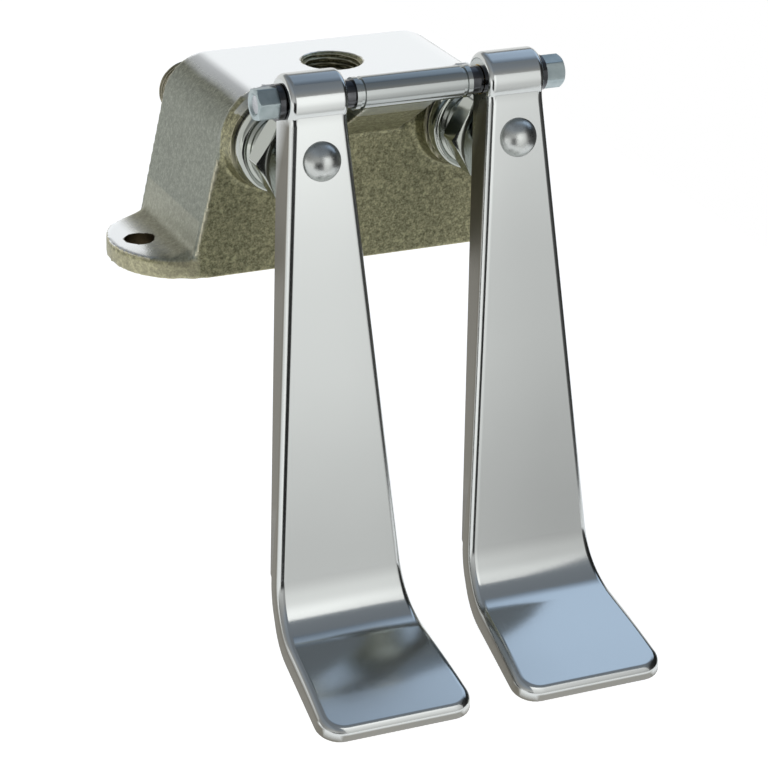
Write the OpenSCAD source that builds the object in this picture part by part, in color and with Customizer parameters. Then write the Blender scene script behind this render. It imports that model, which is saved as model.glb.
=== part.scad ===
// Floor-mounted twin foot pedal valve: two hinged pedals each push a spring-closed
// plunger, which lets one supply line through to the shared outlet in the top.
// Origin: on the base plane, midway between the two fixing holes. X runs along the hinge rod,
// -Y faces the user's foot, +Z is up. Millimetres.

/* [Body casting] */
// Height of the casting from base to polished top
body_height = 63.5; // [58:0.5:75]
// Front-to-back depth at the base
base_depth = 53; // [48:0.5:60]
// Distance that the front face leans forward at the top
front_lean = 3.1; // [1:0.1:5]
// Radius of the top's back edge
back_radius = 1.5; // [1:0.25:4]
// Length between the end faces at the base
foot_length = 126.8; // [120:0.2:136]
// Length between the end faces at the top, before the edges are rolled over
top_length = 101; // [100:1:112]
// Radius that rolls the top over into the end faces
roll_radius = 16; // [6:0.5:20]
// Thickness of the fixing ears
ear_thickness = 7; // [5:0.5:10]
// Radius of the hollow fillet between each ear and its end face
ear_fillet = 4; // [2:0.25:4.5]
// Overall length across the rounded ears
ear_span = 165; // [162:1:190]
// Distance from the rounded end of an ear to its fixing hole's centre
hole_inset = 10.5; // [9.5:0.5:12]
// Diameter of the fixing holes
hole_d = 10.5; // [7:0.5:12]

/* [Water ports] */
// Major diameter of the half-inch pipe thread, shared by outlet and inlets
pipe_thread_d = 20.955; // [20:0.005:21.5]
// Outlet's distance behind the line of the fixing holes
outlet_back = 1.4; // [-1:0.2:4]
// Depth of the outlet's thread
outlet_depth = 14; // [12:0.5:15]
// Distance from the line of the fixing holes to the ends of the inlet stubs
inlet_reach = 50.4; // [46:0.2:56]
// Drop of the inlets' axes below the valves' axes
inlet_drop = 7; // [4:0.5:8]
// Lead-in chamfer at the mouth of the outlet and the ends of the inlet stubs
thread_chamfer = 0.8; // [0.4:0.1:1.2]
// Bore of the inlets
inlet_bore_d = 14; // [11:0.5:15]
// Diameter of the collar behind each inlet thread
collar_d = 26; // [24:0.5:30]
// Length of that collar
collar_length = 3; // [2:0.5:6]
// Diameter of the cored gallery that joins both valves to the outlet
gallery_d = 12; // [9:0.5:13]

/* [Valves] */
// Distance between the two valve axes, and between the pedals
valve_spacing = 71.4; // [70:0.2:80]
// Height of the valve axes above the base
valve_height = 49.5; // [48:0.25:50]
// Distance from the line of the fixing holes to the machined boss faces
boss_reach = 35.2; // [34:0.2:38]
// Diameter of the machined boss face
boss_d = 33.6; // [32:0.2:36]
// Extra radius of the boss where it grows out of the casting
boss_flare = 1.4; // [0.5:0.1:2.5]
// Thickness of the gasket under the bonnet flange
gasket_thickness = 1; // [0.6:0.1:2]
// Diameter of the bonnet flange
flange_d = 32.4; // [30:0.2:33]
// Thickness of the bonnet flange
flange_thickness = 6; // [4:0.2:7]
// Length of the neck between flange and hexagon
neck_length = 4; // [2:0.2:5]
// Diameter of that neck
neck_d = 26; // [24:0.5:28]
// Size across the flats of the bonnet hexagon
bonnet_hex = 27; // [25:0.5:30]
// Length of the bonnet hexagon
hex_length = 9.2; // [7:0.2:10]
// Diameter of the snout that guides the plunger
snout_d = 14; // [12:0.5:16]
// Length of the snout
snout_length = 1.6; // [1:0.1:2]
// Diameter of the bonnet's threaded spigot
spigot_d = 20; // [19:0.2:21]
// Length of the spigot inside the casting
spigot_length = 13; // [10:0.5:14]
// Length of the seat sleeve behind the spigot
sleeve_length = 21; // [19:0.5:22]
// Diameter of the seat opening
seat_d = 10.4; // [9:0.2:11]
// Diameter of the plunger
plunger_d = 7; // [6:0.2:8]
// Diameter of the plunger's spring collar
plunger_collar_d = 14; // [13:0.2:14.4]
// Diameter of the cap screwed on the plunger's nose
plunger_cap_d = 12; // [9:0.2:12]
// Thickness of that cap
plunger_cap_thickness = 3; // [2.6:0.1:3.4]
// Free stroke of the cap before it meets the bonnet
plunger_stroke = 4.1; // [4:0.1:4.6]
// Diameter of the rubber valve disc
disc_d = 15; // [14:0.2:16]
// Thickness of the rubber valve disc
disc_thickness = 3; // [2:0.2:4]
// Wire diameter of the return spring
spring_wire_d = 1.4; // [1:0.1:1.6]
// Turns of the return spring
spring_turns = 6; // [4:0.5:7]
// Section diameter of the plunger's O-ring
plunger_ring_d = 2; // [1.6:0.1:2.2]
// Section diameter of the seat sleeve's O-ring
sleeve_ring_d = 2; // [1.6:0.1:2.2]

/* [Hinge] */
// Distance from the line of the fixing holes forward to the hinge rod
pivot_reach = 61.6; // [59:0.2:66]
// Height of the hinge rod above the base
pivot_height = 73; // [72:0.5:76]
// Diameter of the hinge rod
rod_d = 6; // [5:0.2:7]
// Outside diameter of the cast hinge barrel
barrel_d = 11; // [10:0.5:13]
// Length of the cast hinge barrel
barrel_length = 42; // [36:0.5:43]
// Width of the cast arm that carries the barrel
arm_width = 26; // [20:0.5:30]
// Height of that arm where it leaves the casting's front face
arm_root = 17.5; // [14:0.5:20]
// Distance that the arm's top runs back over the casting
arm_run = 10; // [6:0.5:14]
// Diameter of the washers outside the pedals
washer_d = 12; // [10:0.5:14]
// Thickness of those washers
washer_thickness = 2; // [1:0.1:2.4]
// Size across the flats of the rod nuts
nut_hex = 10; // [9:0.5:11]
// Length of the rod nuts
nut_length = 7.2; // [5:0.2:9]
// Diameter of the spacers between barrel and pedals
spacer_d = 9.4; // [9:0.2:11]
// Outside diameter of the pedal bushes
bush_d = 10; // [9:0.2:11]

/* [Pedals] */
// Diameter of the pedal's hinge eye
eye_d = 18.4; // [17:0.2:21]
// Width of the hinge eye
eye_width = 20.6; // [19:0.2:22]
// Distance from the rod's axis to the strap's front face
face_offset = 7.7; // [7:0.1:8.4]
// Forward lean of the strap in degrees
strap_lean = 9.5; // [7:0.25:12]
// Length of the strap from the rod down to the bend's corner
strap_length = 173.5; // [150:0.5:190]
// Width of the strap at the bend's corner
bend_width = 48; // [44:0.2:54]
// Angle that the bend turns the strap forward, in degrees
bend_turn = 65; // [56:0.5:72]
// Radius of the bend on its front face
bend_radius = 22; // [14:0.5:30]
// Length of the pad from the bend's corner to its front edge
pad_length = 52.4; // [46:0.2:60]
// Width of the pad at its front edge
pad_width = 54.8; // [50:0.2:62]
// Radius of the pad's front corners
pad_corner = 8.5; // [6:0.5:12]
// Thickness of the pedal's face
skin = 3.5; // [2.5:0.1:4.5]
// Thickness of the pedal's side walls
wall = 3; // [2:0.1:4]
// Depth of the side walls at the hinge
wall_depth = 12.2; // [10:0.2:13]
// Depth of the side walls round the bend and the pad
pad_depth = 6.8; // [5.4:0.2:8]
// Distance from the rod's axis down the strap to the push screw
push_drop = 19.6; // [19:0.2:22]
// Diameter of the push screw's domed head
dome_d = 13.2; // [12:0.2:15]
// Height of the domed head
dome_height = 5; // [3:0.1:6]
// Diameter of the push screw's shank
push_d = 8; // [6:0.2:8]
// Size across the flats of the push screw's lock nut
push_nut_hex = 13; // [12:0.5:13]
// Thickness of the lock nut
push_nut_thickness = 4; // [3:0.2:5]

/* [Fits] */
// Radial running clearance of the turning and sliding pieces
running_gap = 0.05; // [0.02:0.01:0.09]
// Radial clearance of screwed and pushed-in pieces
screw_gap = 0.1; // [0.05:0.01:0.2]
// Gap between pieces that move past each other
side_gap = 0.3; // [0.2:0.05:0.5]

/* [Hidden] */
$fn = 64;
left = -1;
right = 1;
// Overlap that keeps cuts and unions clean, and a fine one for joints between tangent faces
lap = 1;
seam = 0.1;
// How far a chamfering cone reaches past a hexagon's corners
corner_spare = 0.2;

// Finishes
plated_casting = [0.52, 0.52, 0.47];
chrome_finish = [0.78, 0.80, 0.82];
zinc_finish = [0.70, 0.74, 0.78];
brass_finish = [0.72, 0.58, 0.30];
steel_finish = [0.62, 0.63, 0.65];
rubber_finish = [0.10, 0.10, 0.11];

// Casting
ear_radius = base_depth / 2;
ear_centre = ear_span / 2 - ear_radius;
hole_spacing = ear_span - 2 * hole_inset;
back_face = base_depth / 2;
// Lean of the end faces, and the centre of an ear's fillet in X and Z
end_slope = atan((foot_length - top_length) / 2 / body_height);
fillet_z = ear_thickness + ear_fillet;
fillet_x = foot_length / 2 - fillet_z * tan(end_slope) + ear_fillet / cos(end_slope);
front_at_top = -base_depth / 2 - front_lean;
front_at_valve = -base_depth / 2 - front_lean * valve_height / body_height;
// How far the arm's faces start inside the barrel's outline
arm_bite = 0.5;

// Stations along a valve axis, as Y values from front to back
flange_back = -boss_reach - gasket_thickness;
gasket_inset = 0.5;
flange_front = flange_back - flange_thickness;
hex_back = flange_front - neck_length;
hex_front = hex_back - hex_length;
snout_front = hex_front - snout_length;
spigot_back = flange_back + spigot_length;
sleeve_back = spigot_back + sleeve_length;

// Bonnet bores: a guide for the plunger, a gland for its O-ring, a pocket for collar and spring.
// A groove's width is a share of its ring's section.
groove_share = 1.3;
gland_wall = 1.2;
gland_front = hex_front + gland_wall;
gland_length = groove_share * plunger_ring_d;
pocket_wall = 2.2;
pocket_front = gland_front + gland_length + pocket_wall;
pocket_d = plunger_collar_d + 2 * side_gap;
guide_d = plunger_d + 2 * running_gap;

// Plunger stations
collar_thickness = 2.4;
collar_front = pocket_front + side_gap;
collar_back = collar_front + collar_thickness;
// Thinner spindle behind the collar; the nose in front of the guide has the same diameter
spindle_step = 1;
spindle_d = plunger_d - 2 * spindle_step;
cap_front = snout_front - plunger_stroke - plunger_cap_thickness;
cap_face = 1;
disc_front = sleeve_back + side_gap / 2;
disc_back = disc_front + disc_thickness;
cup_thickness = 2;
cup_back = disc_back + cup_thickness;
disc_nut_thickness = 3.2;
disc_nut_back = cup_back + disc_nut_thickness;
disc_nut_hex = 8;

// Seat sleeve: spring seat and windows in front, seat bore behind
sleeve_step = 0.6;
sleeve_d = spigot_d - 2 * sleeve_step;
sleeve_bore_d = sleeve_d + 2 * screw_gap;
spigot_bore_d = spigot_d + 2 * screw_gap;
web_length = 3;
window_d = 7;
window_margin = 1;
window_y = spigot_back + web_length + window_margin + window_d / 2;
window_wall = 2.5;
seat_front = window_y + window_d / 2 + window_margin;
// Groove for the sleeve's O-ring, with the ring squeezed a little against the casting
ring_squeeze = 0.9;
groove_setback = 1.7;
groove_d = sleeve_d - 2 * ring_squeeze * sleeve_ring_d;
groove_length = groove_share * sleeve_ring_d;
sleeve_ring_y = sleeve_back - groove_setback * sleeve_ring_d;

// Inlet chamber behind the seat
chamber_gap = 1.7;
chamber_d = disc_d + 2 * chamber_gap;
chamber_back = disc_nut_back + 2 * plunger_stroke;

// Return spring between the plunger collar and the sleeve's web
spring_front = collar_back;
spring_back = spigot_back;
spring_radius = (plunger_d + pocket_d) / 4;
spring_sides = 8;
spring_rings = 12;

// Hinge stations along X
eye_inner = valve_spacing / 2 - eye_width / 2;
eye_outer = valve_spacing / 2 + eye_width / 2;
washer_inner = eye_outer + side_gap;
nut_inner = washer_inner + washer_thickness;
nut_outer = nut_inner + nut_length;
rod_recess = 0.6;
rod_half = nut_outer - rod_recess;
spacer_outer = eye_inner - side_gap;

// Pedal, drawn with its strap hanging straight down from the rod and then leaned forward
corner_z = -strap_length;
bend_tangent = bend_radius * tan(bend_turn / 2);
bend_centre = [-face_offset - bend_radius, corner_z + bend_tangent];
eye_wall = 1.5;
// The strap starts to widen below the washers
strap_start = washer_d / 2 + side_gap;
pocket_top = eye_d / 2 + eye_wall;
bush_bore_d = rod_d + 2 * running_gap;
// Fall of the pad's front edge below the bend's corner, and the draft that its depth adds to the width
pad_fall = pad_length * cos(bend_turn) + pad_depth * sin(bend_turn);
pad_draft = (pad_width - bend_width) / 2 * pad_depth * tan(bend_turn) / pad_length;

// Push screw: its tip stops just short of the plunger's cap
tip_y = cap_front - side_gap;
// Depth of the tip behind the strap's front face, along the leaned screw
tip_depth = face_offset + (tip_y + pivot_reach + push_drop * sin(strap_lean)) / cos(strap_lean);

// Extrudes a profile drawn in Y and Z along X, centred
module along_x(width) {
    rotate([90, 0, 90])
        linear_extrude(width, center = true)
            children();
}

// Extrudes a profile drawn in X and Z along Y, centred
module along_y(depth) {
    rotate([90, 0, 0])
        linear_extrude(depth, center = true)
            children();
}

// Turned piece about the Y axis between two Y stations
module turned(diameter, from_y, to_y) {
    translate([0, from_y, 0])
        rotate([-90, 0, 0])
            cylinder(d = diameter, h = to_y - from_y);
}

// Hexagonal bar about the Y axis, one corner up
module hex_bar(across_flats, from_y, to_y) {
    translate([0, from_y, 0])
        rotate([-90, 30, 0])
            cylinder(d = across_flats / cos(30), h = to_y - from_y, $fn = 6);
}

// Double cone that chamfers the corners of a hexagon at the chosen ends
module chamfer_cone(across_flats, from_y, to_y, front_end, back_end) {
    reach = (across_flats / cos(30) - across_flats) / 2 + corner_spare;
    length = to_y - from_y;
    radius = across_flats / 2;
    translate([0, from_y, 0])
        rotate([-90, 0, 0])
            rotate_extrude()
                polygon([
                    [0, 0],
                    [front_end ? radius : radius + reach, 0],
                    [radius + reach, front_end ? reach * tan(30) : 0],
                    [radius + reach, back_end ? length - reach * tan(30) : length],
                    [back_end ? radius : radius + reach, length],
                    [0, length]
                ]);
}

// Ring of round section about the Y axis
module o_ring(inner_d, section_d, at_y) {
    translate([0, at_y, 0])
        rotate([-90, 0, 0])
            rotate_extrude()
                translate([inner_d / 2 + section_d / 2, 0])
                    circle(d = section_d, $fn = 32);
}

// Trapezium from a base line to a top line, with its two top corners rolled over
module rolled_trapezium(base_half, top_half, height, radius) {
    slope = atan((top_half - base_half) / height);
    reach = radius * tan((90 + slope) / 2);
    side = [top_half - reach * sin(slope), height - reach * cos(slope)];
    polygon([
        [-base_half, 0], [base_half, 0],
        side, [top_half - reach, height],
        [reach - top_half, height], [-side[0], side[1]]
    ]);
    for (end = [left, right])
        translate([end * (top_half - reach), height - radius])
            circle(r = radius);
}

// Frame of a valve: its axis along Y
module on_valve(side) {
    translate([side * valve_spacing / 2, 0, valve_height])
        children();
}

// Casting: tapered block with rolled ends, two fixing ears, valve bosses, inlet stubs, hinge arm
module body_block() {
    intersection() {
        along_y(2 * base_depth)
            rolled_trapezium(foot_length / 2, top_length / 2, body_height, roll_radius);
        along_x(2 * foot_length) {
            polygon([
                [-base_depth / 2, 0], [back_face, 0], [back_face, body_height - back_radius],
                [back_face - back_radius, body_height], [front_at_top, body_height]
            ]);
            translate([back_face - back_radius, body_height - back_radius])
                circle(r = back_radius);
        }
    }
}

module ear_plate() {
    for (end = [left, right])
        translate([end * ear_centre, 0, 0])
            cylinder(r = ear_radius, h = ear_thickness);
    translate([-ear_centre, -ear_radius, 0])
        cube([2 * ear_centre, 2 * ear_radius, ear_thickness]);
}

// Hollow fillet on top of an ear, kept inside the ear's round outline
module ear_fillet_web() {
    foot = foot_length / 2 - fillet_z * tan(end_slope);
    intersection() {
        along_y(base_depth)
            difference() {
                polygon([
                    [foot - lap, ear_thickness - lap], [fillet_x, ear_thickness - lap],
                    [fillet_x, ear_thickness],
                    [fillet_x - ear_fillet * cos(end_slope), fillet_z - ear_fillet * sin(end_slope)],
                    [foot - lap, fillet_z - ear_fillet * sin(end_slope)]
                ]);
                translate([fillet_x, fillet_z])
                    circle(r = ear_fillet);
            }
        translate([ear_centre, 0, 0])
            cylinder(r = ear_radius, h = body_height);
    }
}

module hinge_arm() {
    translate([0, -pivot_reach, pivot_height]) {
        rotate([0, 90, 0])
            cylinder(d = barrel_d, h = barrel_length, center = true);
        along_x(arm_width)
            polygon([
                [0, barrel_d / 2 - arm_bite],
                [pivot_reach + front_at_top + arm_run, body_height - pivot_height],
                [pivot_reach + front_at_valve + lap, body_height - pivot_height - arm_root],
                [3 * arm_bite, arm_bite - barrel_d / 2]
            ]);
    }
}

module valve_boss() {
    translate([0, front_at_valve + lap, 0])
        rotate([90, 0, 0])
            cylinder(r1 = boss_d / 2 + boss_flare, r2 = boss_d / 2,
                h = boss_reach + front_at_valve + lap);
}

module inlet_stub() {
    turned(collar_d, back_face - lap, back_face + collar_length);
    turned(pipe_thread_d, back_face - lap, inlet_reach - thread_chamfer);
    translate([0, inlet_reach - thread_chamfer, 0])
        rotate([-90, 0, 0])
            cylinder(d1 = pipe_thread_d, d2 = pipe_thread_d - 2 * thread_chamfer, h = thread_chamfer);
}

module valve_bores() {
    turned(spigot_bore_d, -boss_reach - lap, seat_front);
    turned(sleeve_bore_d, seat_front - lap, sleeve_back + lap);
    turned(chamber_d, sleeve_back, chamber_back);
    translate([0, 0, -inlet_drop])
        turned(inlet_bore_d, disc_nut_back + plunger_stroke, inlet_reach + lap);
}

module body_casting() {
    color(plated_casting)
        difference() {
            union() {
                body_block();
                ear_plate();
                ear_fillet_web();
                mirror([1, 0, 0])
                    ear_fillet_web();
                hinge_arm();
                for (side = [left, right])
                    on_valve(side) {
                        valve_boss();
                        translate([0, 0, -inlet_drop])
                            inlet_stub();
                    }
            }
            for (end = [left, right])
                translate([end * hole_spacing / 2, 0, -lap])
                    cylinder(d = hole_d, h = fillet_z + 2 * lap);
            for (side = [left, right])
                on_valve(side)
                    valve_bores();
            // Gallery along X between the valves, then back to the outlet
            translate([0, window_y, valve_height])
                rotate([0, 90, 0])
                    cylinder(d = gallery_d, h = valve_spacing, center = true);
            translate([0, 0, valve_height])
                turned(gallery_d, window_y, outlet_back);
            translate([0, outlet_back, body_height - outlet_depth])
                cylinder(d = pipe_thread_d, h = outlet_depth + lap);
            translate([0, outlet_back, body_height - thread_chamfer])
                cylinder(d1 = pipe_thread_d, d2 = pipe_thread_d + 2 * (thread_chamfer + lap),
                    h = thread_chamfer + lap);
            translate([0, outlet_back, valve_height - gallery_d / 2])
                cylinder(d = gallery_d, h = gallery_d);
            // Bore of the hinge barrel
            translate([0, -pivot_reach, pivot_height])
                rotate([0, 90, 0])
                    cylinder(d = rod_d + 2 * screw_gap, h = barrel_length + 2 * lap, center = true);
        }
}

// Hinge rod with its nuts, washers and spacers
module at_pivot() {
    translate([0, -pivot_reach, pivot_height])
        children();
}

// Plain ring about the hinge axis, on both sides
module hinge_rings(outer_d, inner_d, from_x, to_x) {
    for (side = [left, right])
        at_pivot()
            translate([side * (from_x + to_x) / 2, 0, 0])
                rotate([0, 90, 0])
                    difference() {
                        cylinder(d = outer_d, h = to_x - from_x, center = true);
                        cylinder(d = inner_d, h = to_x - from_x + 2 * lap, center = true);
                    }
}

module hinge_rod() {
    color(steel_finish)
        at_pivot()
            rotate([0, 90, 0])
                cylinder(d = rod_d, h = 2 * rod_half, center = true);
}

module rod_nuts() {
    color(zinc_finish)
        for (side = [left, right])
            at_pivot()
                rotate([0, 0, side * -90])
                    difference() {
                        intersection() {
                            hex_bar(nut_hex, nut_inner, nut_outer);
                            chamfer_cone(nut_hex, nut_inner, nut_outer, false, true);
                        }
                        turned(rod_d + 2 * screw_gap, nut_inner - lap, nut_outer + lap);
                    }
}

module rod_washers() {
    color(zinc_finish)
        hinge_rings(washer_d, rod_d + 2 * screw_gap, washer_inner, nut_inner);
}

module pivot_spacers() {
    color(steel_finish)
        hinge_rings(spacer_d, rod_d + 2 * screw_gap, barrel_length / 2, spacer_outer);
}

// Pedal side profile: a band between the front face and a chosen depth behind it
module strap_band(top_z, front, back_top, back_low) {
    polygon([
        [-face_offset + front, top_z], [-face_offset + back_top, top_z],
        [-face_offset + back_low, corner_z + bend_tangent - seam],
        [-face_offset + front, corner_z + bend_tangent - seam]
    ]);
}

module bend_band(front, back) {
    intersection() {
        translate(bend_centre)
            difference() {
                circle(r = bend_radius + back, $fn = 96);
                circle(r = bend_radius + front, $fn = 96);
            }
        translate(bend_centre)
            polygon([
                [0, 0], [3 * bend_radius, 0],
                3 * bend_radius * [1, -tan(bend_turn / 2)],
                3 * bend_radius * [cos(bend_turn), -sin(bend_turn)]
            ]);
    }
}

// Pad stretch of the side profile, from the bend's end to a chosen distance short of the front edge
module pad_band(front, back, short) {
    ahead = [-sin(bend_turn), -cos(bend_turn)];
    behind = [cos(bend_turn), -sin(bend_turn)];
    corner = [-face_offset, corner_z];
    near = bend_tangent - seam;
    far = pad_length - short;
    polygon([
        corner + near * ahead + front * behind,
        corner + far * ahead + front * behind,
        corner + far * ahead + back * behind,
        corner + near * ahead + back * behind
    ]);
}

// Front view outline: the strap widens evenly to the bend, then the pad flares
module strap_outline(inset) {
    eye_half = eye_width / 2 - inset;
    bend_half = bend_width / 2 - inset;
    pad_half = pad_width / 2 - inset + pad_draft;
    polygon([
        [-eye_half, 0], [-eye_half, -strap_start], [-bend_half, corner_z], [-pad_half, corner_z - pad_fall],
        [pad_half, corner_z - pad_fall], [bend_half, corner_z], [eye_half, -strap_start], [eye_half, 0]
    ]);
}

// Frame of the pad: X across, Y ahead from the bend's corner, Z down through the thickness
module on_pad() {
    translate([0, -face_offset, corner_z])
        rotate([270 - bend_turn, 0, 0])
            children();
}

// What the rounded front corners of the pad leave over
module corner_waste(inset, deep) {
    on_pad()
        translate([0, 0, -lap])
            linear_extrude(deep + 2 * lap)
                difference() {
                    translate([-pad_width, pad_length - pad_corner - inset])
                        square([2 * pad_width, 2 * pad_corner]);
                    rolled_trapezium(bend_width / 2 - inset, pad_width / 2 - inset + pad_draft,
                        pad_length - inset, pad_corner - inset);
                }
}

module pedal_shell() {
    difference() {
        intersection() {
            along_x(2 * pad_width) {
                strap_band(0, 0, wall_depth, pad_depth);
                bend_band(0, pad_depth);
                pad_band(0, pad_depth, 0);
            }
            along_y(8 * pad_length)
                strap_outline(0);
        }
        corner_waste(0, pad_depth);
    }
    rotate([0, 90, 0])
        cylinder(d = eye_d, h = eye_width, center = true);
}

module pedal_pocket() {
    deep = wall_depth + 4 * lap;
    difference() {
        intersection() {
            along_x(2 * pad_width) {
                strap_band(-pocket_top, skin, deep, deep);
                bend_band(skin, deep);
                pad_band(skin, deep, wall);
            }
            along_y(8 * pad_length)
                strap_outline(wall);
        }
        corner_waste(wall, deep);
    }
}

// Leaned pedal frame: strap front face at Y = -face_offset, rod axis at the origin
module in_pedal(side) {
    translate([side * valve_spacing / 2, 0, 0])
        at_pivot()
            rotate([-strap_lean, 0, 0])
                children();
}

module pedal(side) {
    color(chrome_finish)
        in_pedal(side)
            difference() {
                pedal_shell();
                pedal_pocket();
                rotate([0, 90, 0])
                    cylinder(d = bush_d, h = eye_width + 2 * lap, center = true);
                translate([0, 0, -push_drop])
                    turned(push_d + 2 * screw_gap, -face_offset - lap, -face_offset + skin + lap);
            }
}

module bush(side) {
    color(brass_finish)
        in_pedal(side)
            rotate([0, 90, 0])
                difference() {
                    cylinder(d = bush_d, h = eye_width, center = true);
                    cylinder(d = bush_bore_d, h = eye_width + 2 * lap, center = true);
                }
}

// Push screw: domed head on the strap, shank through it, rounded tip towards the plunger
module push_screw(side) {
    dome_radius = (dome_d * dome_d / 4 + dome_height * dome_height) / (2 * dome_height);
    color(chrome_finish)
        in_pedal(side)
            translate([0, -face_offset, -push_drop]) {
                intersection() {
                    turned(dome_d, -dome_height, 0);
                    translate([0, dome_radius - dome_height, 0])
                        sphere(r = dome_radius);
                }
                turned(push_d, -lap, tip_depth - push_d / 2);
                intersection() {
                    turned(push_d, tip_depth - push_d, tip_depth);
                    translate([0, tip_depth - push_d, 0])
                        sphere(r = push_d);
                }
            }
}

module push_nut(side) {
    front = -face_offset + skin;
    color(zinc_finish)
        in_pedal(side)
            translate([0, 0, -push_drop])
                difference() {
                    intersection() {
                        hex_bar(push_nut_hex, front, front + push_nut_thickness);
                        chamfer_cone(push_nut_hex, front, front + push_nut_thickness, false, true);
                    }
                    turned(push_d + 2 * screw_gap, front - lap, front + push_nut_thickness + lap);
                }
}

module bonnet(side) {
    color(chrome_finish)
        on_valve(side)
            difference() {
                union() {
                    turned(snout_d, snout_front, hex_front + lap);
                    intersection() {
                        hex_bar(bonnet_hex, hex_front, hex_back);
                        chamfer_cone(bonnet_hex, hex_front, hex_back, true, true);
                    }
                    turned(neck_d, hex_back - lap, flange_front + lap);
                    turned(flange_d, flange_front, flange_back);
                    turned(spigot_d, flange_back - lap, spigot_back);
                }
                turned(guide_d, snout_front - lap, pocket_front + lap);
                turned(plunger_d + 2 * plunger_ring_d, gland_front, gland_front + gland_length);
                turned(pocket_d, pocket_front, spigot_back + lap);
            }
}

module gasket(side) {
    color(rubber_finish)
        on_valve(side)
            difference() {
                turned(flange_d - 2 * gasket_inset, flange_back, -boss_reach);
                turned(spigot_d + 2 * screw_gap, flange_back - lap, -boss_reach + lap);
            }
}

// Plunger: nose for the cap, guided shank, spring collar, spindle for the disc and its nut
module plunger(side) {
    color(steel_finish)
        on_valve(side) {
            turned(spindle_d, cap_front + cap_face, disc_nut_back + lap);
            turned(plunger_d, cap_front + plunger_cap_thickness, collar_front + lap);
            turned(plunger_collar_d, collar_front, collar_back);
        }
}

module plunger_cap(side) {
    color(chrome_finish)
        on_valve(side)
            difference() {
                turned(plunger_cap_d, cap_front, cap_front + plunger_cap_thickness);
                turned(spindle_d, cap_front + cap_face, cap_front + plunger_cap_thickness + lap);
            }
}

module plunger_ring(side) {
    color(rubber_finish)
        on_valve(side)
            o_ring(guide_d, plunger_ring_d - 2 * running_gap, gland_front + gland_length / 2);
}

// Wire of the return spring, swept round a helix between the collar and the sleeve's web
module return_spring(side) {
    rings = ceil(spring_turns * spring_rings);
    first = spring_front + spring_wire_d / 2;
    pitch = (spring_back - spring_front - spring_wire_d) / spring_turns;
    points = [
        for (i = [0 : rings]) let (turn = 360 * spring_turns * i / rings)
            for (k = [0 : spring_sides - 1]) let (
                around = 360 * k / spring_sides,
                reach = spring_radius + spring_wire_d / 2 * cos(around)
            )
                [
                    reach * cos(turn),
                    first + pitch * turn / 360 + spring_wire_d / 2 * sin(around),
                    reach * sin(turn)
                ]
    ];
    ends = [
        [for (k = [0 : spring_sides - 1]) k],
        [for (k = [spring_sides - 1 : -1 : 0]) rings * spring_sides + k]
    ];
    sides = [
        for (i = [0 : rings - 1])
            for (k = [0 : spring_sides - 1]) let (
                near = i * spring_sides + k,
                next = i * spring_sides + (k + 1) % spring_sides
            )
                each [
                    [next, near, near + spring_sides],
                    [next, near + spring_sides, next + spring_sides]
                ]
    ];
    color(steel_finish)
        on_valve(side)
            polyhedron(points, concat(ends, sides));
}

// Seat sleeve: a web that the spring stands on, cross windows, and the seat at its back end
module seat_sleeve(side) {
    color(brass_finish)
        on_valve(side)
            difference() {
                turned(sleeve_d, spigot_back, sleeve_back);
                turned(spindle_d + 2 * side_gap, spigot_back - lap, sleeve_back);
                turned(sleeve_d - 2 * window_wall, spigot_back + web_length, seat_front);
                turned(seat_d, seat_front - lap, sleeve_back + lap);
                for (turn = [0, 90])
                    translate([0, window_y, 0])
                        rotate([0, turn, 0])
                            cylinder(d = window_d, h = 2 * sleeve_d, center = true);
                difference() {
                    turned(sleeve_d + lap, sleeve_ring_y - groove_length / 2,
                        sleeve_ring_y + groove_length / 2);
                    turned(groove_d, sleeve_ring_y - groove_length, sleeve_ring_y + groove_length);
                }
            }
}

module sleeve_ring(side) {
    color(rubber_finish)
        on_valve(side)
            o_ring(groove_d, ring_squeeze * sleeve_ring_d, sleeve_ring_y);
}

module disc_stack(diameter, from_y, to_y) {
    difference() {
        turned(diameter, from_y, to_y);
        turned(spindle_d, from_y - lap, to_y + lap);
    }
}

module valve_disc(side) {
    color(rubber_finish)
        on_valve(side)
            disc_stack(disc_d, disc_front, disc_back);
}

module disc_cup(side) {
    color(brass_finish)
        on_valve(side)
            disc_stack(disc_d, disc_back, cup_back);
}

module disc_nut(side) {
    color(brass_finish)
        on_valve(side)
            difference() {
                hex_bar(disc_nut_hex, cup_back, disc_nut_back);
                turned(spindle_d, cup_back - lap, disc_nut_back + lap);
            }
}

body_casting();
hinge_rod();
rod_nuts();
rod_washers();
pivot_spacers();
pedal(left);  // left_pedal
bush(left);  // left_bush
push_screw(left);  // left_push_screw
push_nut(left);  // left_push_nut
bonnet(left);  // left_bonnet
gasket(left);  // left_gasket
plunger(left);  // left_plunger
plunger_cap(left);  // left_plunger_cap
plunger_ring(left);  // left_plunger_ring
return_spring(left);  // left_spring
seat_sleeve(left);  // left_seat_sleeve
sleeve_ring(left);  // left_sleeve_ring
disc_cup(left);  // left_disc_cup
valve_disc(left);  // left_valve_disc
disc_nut(left);  // left_disc_nut
pedal(right);  // right_pedal
bush(right);  // right_bush
push_screw(right);  // right_push_screw
push_nut(right);  // right_push_nut
bonnet(right);  // right_bonnet
gasket(right);  // right_gasket
plunger(right);  // right_plunger
plunger_cap(right);  // right_plunger_cap
plunger_ring(right);  // right_plunger_ring
return_spring(right);  // right_spring
seat_sleeve(right);  // right_seat_sleeve
sleeve_ring(right);  // right_sleeve_ring
disc_cup(right);  // right_disc_cup
valve_disc(right);  // right_valve_disc
disc_nut(right);  // right_disc_nut
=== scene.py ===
import math
import bpy
import bmesh
from mathutils import Matrix, Vector


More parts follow.
